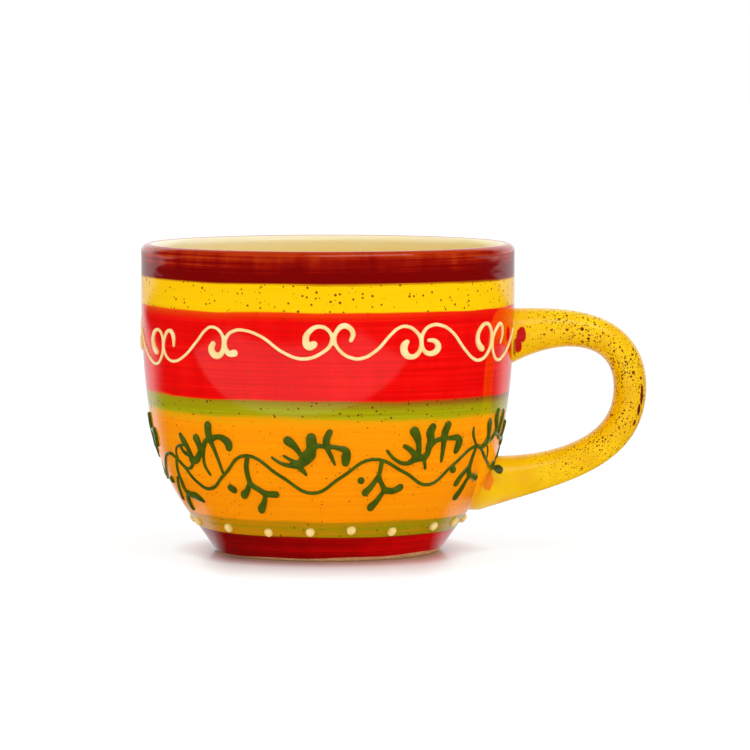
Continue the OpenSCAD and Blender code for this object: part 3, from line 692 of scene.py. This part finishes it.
SPRIG_C = (
    ((-13.0, 30.5, 0.8), (-10.6, 28.1, 0.9), (-7.1, 26.9, 1.1), (-4.4, 28.1, 1.9), (-1.8, 28.5, 1.7),
     (-0.5, 31.2, 1.3), (1.1, 32.6, 1.2), (2.6, 32.9, 1.2), (5.6, 33.0, 1.2), (9.2, 32.4, 1.9),
     (9.1, 30.9, 2.1), (8.6, 29.3, 1.5)),
    ((-4.5, 28.6, 1.6), (-6.5, 30.5, 1.4), (-8.3, 31.6, 1.1)),
    ((-3.8, 29.3, 1.3), (-4.3, 32.2, 1.5), (-5.0, 34.0, 2.1), (-5.9, 35.5, 2.5)),
    ((-1.3, 30.7, 1.4), (-0.7, 33.2, 2.0), (-1.1, 34.8, 2.2), (-0.4, 36.5, 1.8)),
    ((4.0, 26.9, 0.8), (3.7, 31.7, 1.4), (3.6, 34.5, 2.0), (4.5, 36.8, 1.8)),
    ((-2.1, 28.5, 1.2), (-1.0, 25.2, 0.7)))
SPRIG_E = (
    ((-15.9, 30.1, 0.8), (-17.0, 31.0, 0.7), (-19.0, 33.8, 0.9), (-19.1, 35.4, 0.5)),
    ((-15.9, 30.1, 1.0), (-13.2, 29.7, 1.3), (-11.1, 30.9, 1.8), (-10.6, 32.7, 1.3), (-11.4, 35.9, 1.9),
     (-11.3, 36.8, 1.0)),
    ((-10.9, 30.5, 1.2), (-8.7, 31.1, 1.0), (-6.5, 32.8, 1.1), (-5.8, 33.8, 1.3), (-7.2, 37.6, 1.8),
     (-6.1, 39.1, 1.0)),
    ((-6.2, 33.0, 1.0), (-3.5, 32.4, 1.0), (-2.8, 34.5, 1.1), (-2.1, 36.5, 1.6), (-1.3, 38.5, 0.9)),
    ((-3.5, 32.4, 1.0), (0.4, 31.0, 1.1), (2.6, 32.8, 1.3), (3.5, 35.0, 1.5)),
    ((0.4, 31.0, 1.0), (3.2, 30.8, 1.4), (4.4, 29.0, 1.0)),
    ((-10.1, 30.0, 0.6), (-8.5, 28.2, 0.6), (-7.8, 25.9, 0.5)))
LEAVES = (
    (-88, SPRIG_C), (-48, SPRIG_A), (-4, SPRIG_B), (36, SPRIG_C), (78, SPRIG_E), (118, SPRIG_B),
    (157, SPRIG_A), (197, SPRIG_C), (236, SPRIG_B))
vine_leaves = trailed("trailed_vine_leaves", placed(LEAVES))
vine_leaves.data.materials.append(green_slip)
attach(vine_leaves, "root")
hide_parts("vine_leaves")

# Vine drops: short forked sprigs of the same slip that hang from the crests of the stem.
# Each fork ends in a fat drop, where the trailer stopped before it was lifted.
DROP_A = (
    ((4.1, 26.6, 0.9), (2.6, 23.0, 1.0), (2.6, 20.3, 1.3), (2.5, 18.0, 1.2), (4.5, 17.1, 1.5),
     (8.4, 16.6, 1.9), (10.6, 15.5, 1.0)),
    ((0.5, 21.4, 0.6), (-1.8, 18.3, 1.1), (-4.2, 15.1, 1.0)),
    ((2.8, 16.9, 1.1), (0.7, 14.5, 1.6), (0.2, 12.9, 1.5)))
DROP_B = (
    ((1.2, 28.7, 1.2), (0.4, 25.8, 1.3), (0.7, 21.4, 1.4)),
    ((0.3, 21.2, 1.2), (-0.9, 19.3, 1.6), (-2.1, 18.3, 2.2)),
    ((0.9, 21.2, 1.4), (3.5, 19.7, 1.4), (4.8, 19.0, 1.5), (8.2, 18.8, 1.7)),
    ((4.8, 18.7, 1.1), (3.9, 16.6, 1.5), (2.3, 14.5, 2.2)))
DROP_C = (
    ((3.5, 27.9, 1.2), (3.2, 25.1, 1.1), (3.1, 23.8, 1.2), (4.6, 20.9, 1.3), (5.4, 19.8, 1.6)),
    ((2.8, 23.8, 1.0), (1.3, 21.2, 1.4), (-0.4, 19.3, 1.9)),
    ((5.4, 19.8, 1.6), (8.0, 19.7, 1.6), (9.9, 20.6, 1.8)),
    ((4.9, 19.6, 1.1), (3.4, 17.0, 1.5), (1.8, 15.3, 2.1)))
DROP_D = (
    ((0.4, 29.5, 0.9), (-0.3, 26.9, 1.1), (-0.4, 24.8, 1.2), (-0.1, 23.4, 1.5), (1.3, 22.2, 1.5)),
    ((-1.2, 24.3, 1.0), (-3.6, 22.0, 1.4), (-4.5, 20.4, 1.7)),
    ((1.3, 22.2, 1.1), (0.2, 20.9, 1.1), (-0.8, 18.6, 1.5), (-2.0, 16.6, 2.0)),
    ((1.1, 22.4, 1.3), (5.2, 21.3, 1.8)))
DROPS = (
    (-104, DROP_C), (-66, DROP_A), (-28, DROP_B), (14, DROP_C), (57, DROP_D), (138, DROP_B), (177, DROP_C),
    (216.5, DROP_D))
vine_drops = trailed("trailed_vine_drops", placed(DROPS))
vine_drops.data.materials.append(green_slip)
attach(vine_drops, "root")
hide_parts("vine_drops")

# Vine berries: single drops of the same slip beside the hanging sprigs.
# Some were pulled oval as the trailer came off the wall.
BERRY_WIDTH = 1.8
BERRIES = (
    (-111, 21.5, 0.2), (-72.5, 20.2, 0.2), (-35, 19.8, 0.6), (11.7, 22.7, 0.1), (47.4, 24.4, 0.2),
    (80.8, 23.4, 0.9), (131, 20.0, 0.5), (174, 22.4, 0.2), (207, 24.0, 0.3))
vine_berries = trailed("trailed_vine_berries", [
    [(along(at) - pull, z + pull / 2, BERRY_WIDTH), (along(at) + pull, z - pull / 2, BERRY_WIDTH)]
    for at, z, pull in BERRIES])
vine_berries.data.materials.append(green_slip)
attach(vine_berries, "root")
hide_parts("vine_berries")

# Cream dots: round drops of cream slip set one by one along the lower green band.
# They stand higher than the lines, and each is a little longer than it is tall.
DOTS = (
    (-91, 8.6), (-71, 8.8), (-46, 8.5), (-25.4, 8.0), (-6.9, 8.4), (10.1, 8.9), (28.3, 8.2), (50.6, 8.7),
    (67, 9.0), (85, 8.8), (104, 8.4), (123, 8.7), (142, 8.3), (161, 8.8), (180, 8.6), (199, 8.3), (217, 8.8),
    (235, 8.5), (252, 8.4))
DOT_HALF, DOT_EDGE, DOT_MIDDLE, DOT_PROUD = 0.65, 1.9, 2.1, 1.3
dots = []
for at, z in DOTS:
    u = along(at)
    dots.append([(u - DOT_HALF, z, DOT_EDGE), (u, z, DOT_MIDDLE), (u + DOT_HALF, z + 0.1, DOT_EDGE)])
cream_dots = trailed("trailed_cream_dots", dots, tallest=DOT_PROUD)

# The same slip under glaze that pooled round the drops: a cloudy cream, yellower than the lines, with one
# bright point on top
dot_slip, tree = material("cream_slip_in_drops_under_thick_glaze")
cloud = add(tree, "TexNoise", {"Vector": in_mm(tree, 2, 2, 2), "Detail": 2.0, "Scale": 1.0})
tone = add(tree, "ValToRGB", {"Fac": cloud.outputs["Fac"]}, stops=((0.3, "#f7cd5c"), (0.7, "#ffe9a2")))
shader = add(tree, "BsdfPrincipled", {"Base Color": tone.outputs["Color"], "Roughness": 0.15, "IOR": 1.5})
add(tree, "OutputMaterial", {"Surface": shader.outputs["BSDF"]})
cream_dots.data.materials.append(dot_slip)
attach(cream_dots, "root")
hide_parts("cream_dots")

# Floor: a white table that fades into the backdrop and keeps the soft shadow of the mug.
# Each kind of ray finds its own sheet here: a pale one for the light, a white one with the shadow for the
# camera, and one for the glaze to mirror, which is white behind the mug and dim in front.
# Distances here are in metres from the axis of the mug
bm = bmesh.new()
bmesh.ops.create_grid(bm, x_segments=1, y_segments=1, size=6.0)
floor = finished("floor", bm)
white_table, tree = material("white_table")
path = add(tree, "LightPath")
spot = add(tree, "SeparateXYZ", {0: add(tree, "TexCoord").outputs["Object"]})
aside = add(tree, "Math", {0: spot.outputs["X"]}, operation="ABSOLUTE")

# For the light: pale, with a little light of its own
pale = add(tree, "BsdfDiffuse", {"Color": rgb("#f4f2f0")})
bounce = add(tree, "Emission", {"Color": rgb("#ffffff"), "Strength": 0.15})
pale = add(tree, "AddShader", {0: pale.outputs[0], 1: bounce.outputs[0]})

# For the camera: white, with a painted shadow, a warm dark line at the foot that fades out within 13 mm
# and is lighter at both sides in front. A satin sheen within 40 mm mirrors the mug faintly.
beside = add(tree, "MapRange", {"Value": aside.outputs[0], 1: 0.025, 2: 0.036, 3: 0.0, 4: 0.19})
in_front = add(tree, "MapRange", {"Value": spot.outputs["Y"], 1: -0.018, 2: 0.03, 3: 1.0, 4: 0.0})
lighter = add(tree, "Math", {0: beside.outputs[0], 1: in_front.outputs[0]}, operation="MULTIPLY")
painted_contact_shadow = add(tree, "AmbientOcclusion", {"Distance": 0.013}, samples=16)
painted_contact_shadow = add(tree, "Math", {0: painted_contact_shadow.outputs["AO"], 1: lighter.outputs[0]}, operation="ADD")
shadow = add(
    tree, "ValToRGB", {"Fac": painted_contact_shadow.outputs[0]},
    stops=((0.25, "#34190f"), (0.92, "#ffffff"), (0.5, "#bf938d"), (0.75, "#ebe0dd")))
glow = add(tree, "Emission", {"Color": shadow.outputs["Color"], "Strength": 0.82})
grey = add(tree, "BsdfDiffuse", {"Color": rgb("#858585")})
seen = add(tree, "AddShader", {0: grey.outputs[0], 1: glow.outputs[0]})
satin = add(tree, "BsdfAnisotropic", {"Color": rgb("#ffffff"), "Roughness": 0.28})
around = add(tree, "AmbientOcclusion", {"Distance": 0.04}, samples=16)
around = add(tree, "Math", {0: around.outputs["AO"], 1: lighter.outputs[0]}, operation="ADD")
sheen = add(tree, "MapRange", {"Value": around.outputs[0], 1: 0.55, 2: 0.98, 3: 0.5, 4: 0.0})
seen = add(tree, "MixShader", {0: sheen.outputs[0], 1: seen.outputs[0], 2: satin.outputs[0]})

# For the glaze: a white sheet behind the mug that widens away from it, the far backdrop, and the table right
# beside the foot, each with soft edges
sheet = add(
    tree, "MapRange", {"Value": aside.outputs[0], 1: 0.37, 2: 0.53, 3: 1.0, 4: 0.0},
    interpolation_type="SMOOTHSTEP")
aside = add(tree, "Math", {0: aside.outputs[0], 1: 0.01}, operation="MAXIMUM")
behind = add(tree, "Math", {0: spot.outputs["Y"], 1: aside.outputs[0]}, operation="DIVIDE")
behind = add(
    tree, "MapRange", {"Value": behind.outputs[0], 1: 0.45, 2: 1.2, 3: 0.0, 4: 0.75},
    interpolation_type="SMOOTHSTEP")
behind = add(tree, "Math", {0: behind.outputs[0], 1: sheet.outputs[0], 2: 0.02}, operation="MULTIPLY_ADD")
far = add(
    tree, "MapRange", {"Value": spot.outputs["Y"], 1: 0.75, 2: 0.95, 3: 0.0, 4: 0.6},
    interpolation_type="SMOOTHSTEP")
level = add(tree, "Math", {0: behind.outputs[0], 1: far.outputs[0]}, operation="MAXIMUM")
near = add(tree, "MapRange", {"Value": aside.outputs[0], 1: 0.046, 2: 0.058, 3: 0.7, 4: 0.0})
back = add(tree, "MapRange", {"Value": spot.outputs["Y"], 1: -0.014, 2: -0.004, 3: 0.0, 4: 1.0})
near = add(tree, "Math", {0: near.outputs[0], 1: back.outputs[0]}, operation="MULTIPLY")
level = add(tree, "Math", {0: level.outputs[0], 1: near.outputs[0]}, operation="MAXIMUM")
mirrored = add(tree, "Emission", {"Color": rgb("#ffffff"), "Strength": level.outputs[0]})
look = add(tree, "MixShader", {0: path.outputs["Is Camera Ray"], 1: pale.outputs[0], 2: seen.outputs[0]})
look = add(tree, "MixShader", {0: path.outputs["Is Glossy Ray"], 1: look.outputs[0], 2: mirrored.outputs[0]})
add(tree, "OutputMaterial", {"Surface": look.outputs[0]})
floor.data.materials.append(white_table)

# Card: a lit white sheet that lies on the table in front of the mug, turned a little.
# The camera doesn't see it. It shows only as a pale patch in the glaze of the belly.
CARD_MIDDLE = Vector((-0.13, -0.275, 0.0002))
CARD_HALF = Vector((0.38, 0.145, 1))
CARD_TURN = math.radians(-17)
bm = bmesh.new()
bmesh.ops.create_grid(
    bm, x_segments=1, y_segments=1, size=1.0,
    matrix=Matrix.LocRotScale(CARD_MIDDLE, Euler((0, 0, CARD_TURN)), CARD_HALF))
card = finished("card", bm)
lit_card, tree = material("white_card_lit")
glow = add(tree, "Emission", {"Color": rgb("#ffffff"), "Strength": 0.55})
add(tree, "OutputMaterial", {"Surface": glow.outputs[0]})
card.data.materials.append(lit_card)
card.visible_camera = card.visible_diffuse = card.visible_shadow = False

# Studio: even white light from all sides, with a white backdrop that the glaze mirrors only behind the mug.
# One wide soft lamp stands high at the front right and adds the shine on the lip and the handle.
world = bpy.data.worlds.new("studio")
scene.world = world
world.use_nodes = True
tree = world.node_tree
tree.nodes.clear()
path = add(tree, "LightPath")
facing = add(
    tree, "VectorMath", {0: add(tree, "TexCoord").outputs["Generated"], 1: (0.0, 1.0, 0.0)},
    operation="DOT_PRODUCT")
backdrop = add(
    tree, "MapRange", {"Value": facing.outputs["Value"], 1: 0.55, 2: 0.8, 3: 0.02, 4: 1.0},
    interpolation_type="SMOOTHSTEP")
level = add(
    tree, "Mix", {0: path.outputs["Is Glossy Ray"], 2: 0.98, 3: backdrop.outputs[0]}, data_type="FLOAT")
level = add(tree, "Mix", {0: path.outputs["Is Camera Ray"], 2: level.outputs[0], 3: 1.0}, data_type="FLOAT")
light = add(tree, "Background", {"Color": rgb("#ffffff"), "Strength": level.outputs[0]})
add(tree, "OutputWorld", {"Surface": light.outputs[0]})

softbox = bpy.data.lights.new("softbox", "AREA")
softbox.energy = 1.6
softbox.shape = "RECTANGLE"
softbox.size, softbox.size_y = 0.8, 0.35
lamp = bpy.data.objects.new("softbox", softbox)
lamp.location = (0.25, -0.42, 0.8)
lit_spot = Vector((0.02, 0, 0.05))
lamp.rotation_euler = (lit_spot - Vector(lamp.location)).to_track_quat("-Z", "Y").to_euler()
scene.collection.objects.link(lamp)

# Camera: a long lens well back and a little above the rim, tilted down by about four degrees.
# It faces the mug square on, with the handle at the right.
TILT_DOWN = 4.21
camera_data = bpy.data.cameras.new("camera")
camera_data.lens = 240.8
camera_data.sensor_width = 36
camera = bpy.data.objects.new("camera", camera_data)
camera.location = (0.0126, -1.342, 0.1458)
camera.rotation_euler = (math.radians(90 - TILT_DOWN), 0, 0)
scene.collection.objects.link(camera)
scene.camera = camera

scene.view_settings.view_transform = "Standard"
